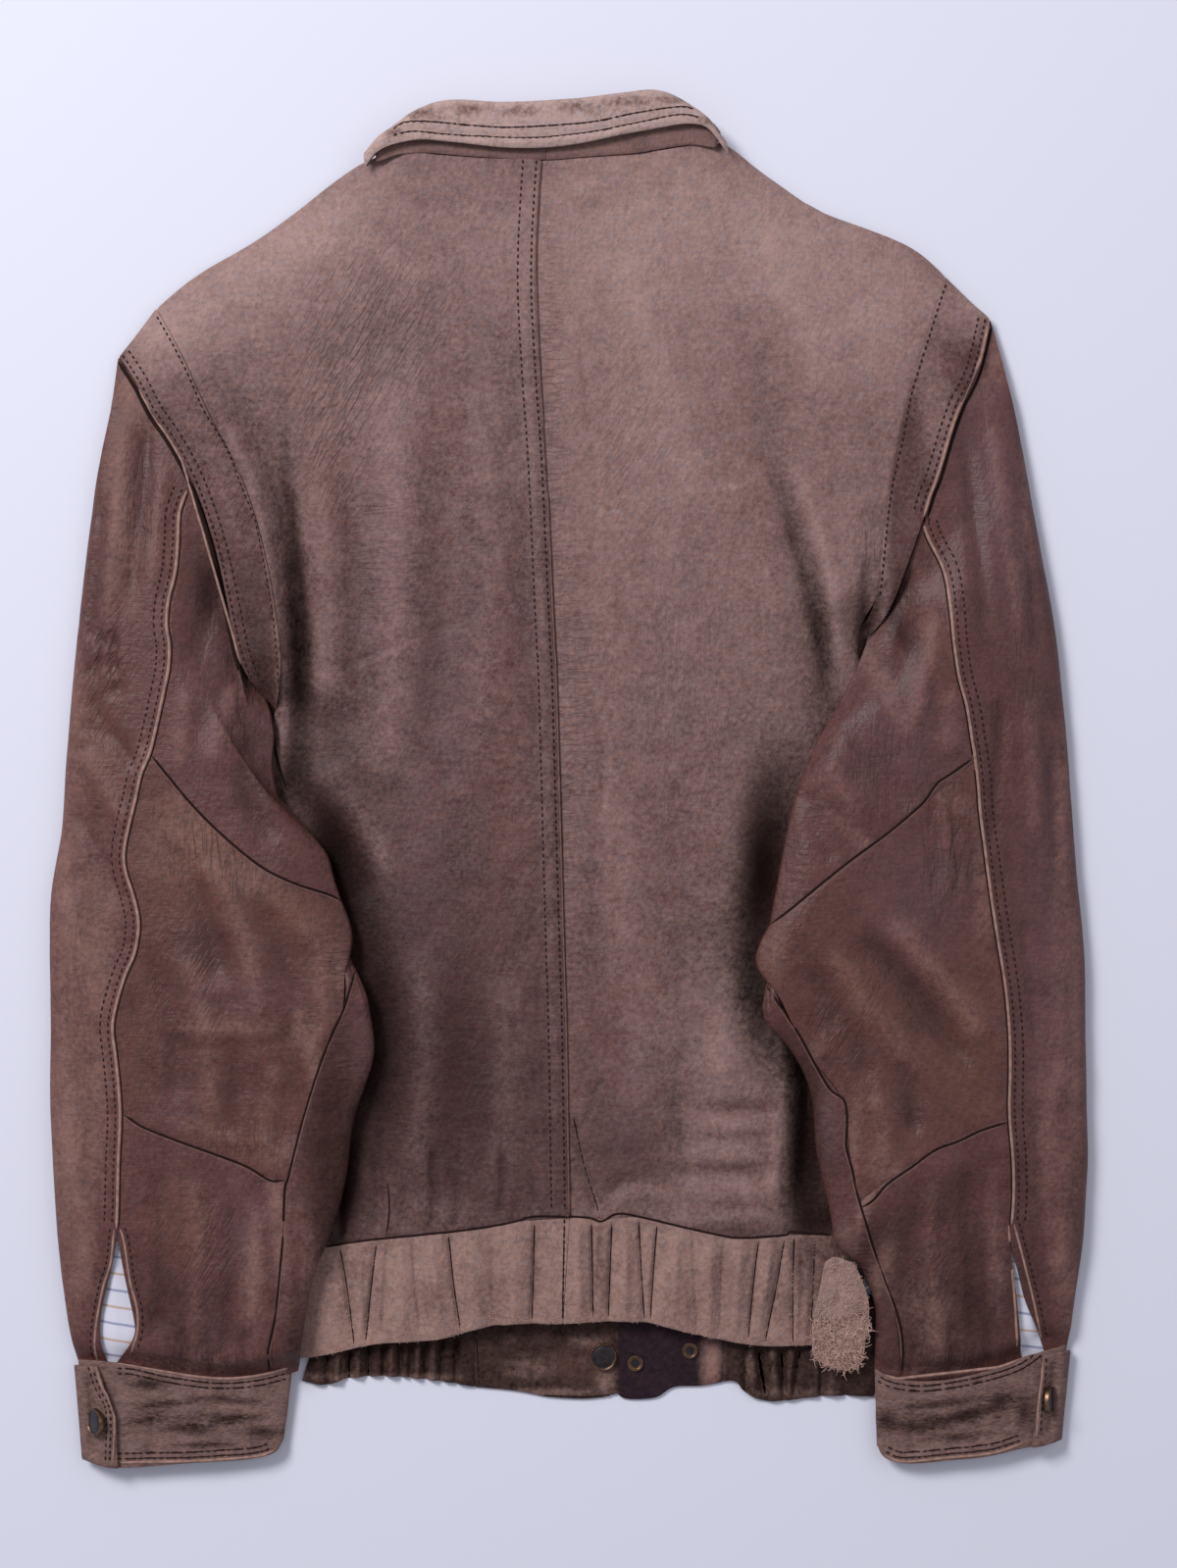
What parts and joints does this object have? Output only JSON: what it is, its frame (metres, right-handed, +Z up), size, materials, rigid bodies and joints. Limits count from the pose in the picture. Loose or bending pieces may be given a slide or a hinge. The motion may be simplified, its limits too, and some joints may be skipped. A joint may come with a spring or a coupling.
{
  "type": "worn leather jacket laid flat",
  "caption": "Worn brown leather blouson laid flat face down, with panelled sleeves, gathered waistband, cuffs and a small turned-down collar.",
  "frame": {"origin": "on the surface that the jacket lies on, under the middle of its box", "axes": "+X to the right sleeve as seen from above, +Y towards the collar, +Z up from the surface"},
  "size_m": [0.5904, 0.781, 0.0304],
  "materials": {
    "back_leather": "worn satin",
    "sleeve_leather": "worn satin",
    "elbow_leather": "worn satin",
    "collar_suede": "rubbed to suede",
    "band_suede": "rubbed to suede",
    "inner_leather": "matt",
    "dark_leather": "satin",
    "lining_cloth": "striped weave",
    "stud_bronze": "worn"
  },
  "bodies": {
    "root": {"back_left": "back_leather", "back_right": "back_leather", "armhole_strip_left": "back_leather", "armhole_strip_right": "back_leather", "sleeve_outer_left": "sleeve_leather", "sleeve_upper_left": "sleeve_leather", "sleeve_forearm_left": "sleeve_leather", "sleeve_underarm_left": "sleeve_leather", "sleeve_outer_right": "sleeve_leather", "sleeve_upper_right": "sleeve_leather", "sleeve_forearm_right": "sleeve_leather", "sleeve_underarm_right": "sleeve_leather", "sleeve_elbow_left": "elbow_leather", "sleeve_elbow_right": "elbow_leather", "collar_fall": "collar_suede", "side_tab": "collar_suede", "waistband_back_left": "band_suede", "waistband_back_right": "band_suede", "cuff_left": "band_suede", "cuff_right": "band_suede", "cuff_tab_left": "band_suede", "cuff_tab_right": "band_suede", "front_left": "inner_leather", "front_right": "inner_leather", "collar_front_left": "inner_leather", "collar_front_right": "inner_leather", "waistband_front_left": "inner_leather", "waistband_left_end": "inner_leather", "waistband_front_right": "inner_leather", "collar_stand_left": "dark_leather", "collar_stand_right": "dark_leather", "waistband_right_end": "dark_leather", "slit_lining_left": "lining_cloth", "slit_lining_right": "lining_cloth", "cuff_stud_left": "stud_bronze", "cuff_stud_right": "stud_bronze", "waist_stud_cap": "stud_bronze", "waist_stud_ring_1": "stud_bronze", "waist_stud_ring_2": "stud_bronze"}
  },
  "joints": []
}
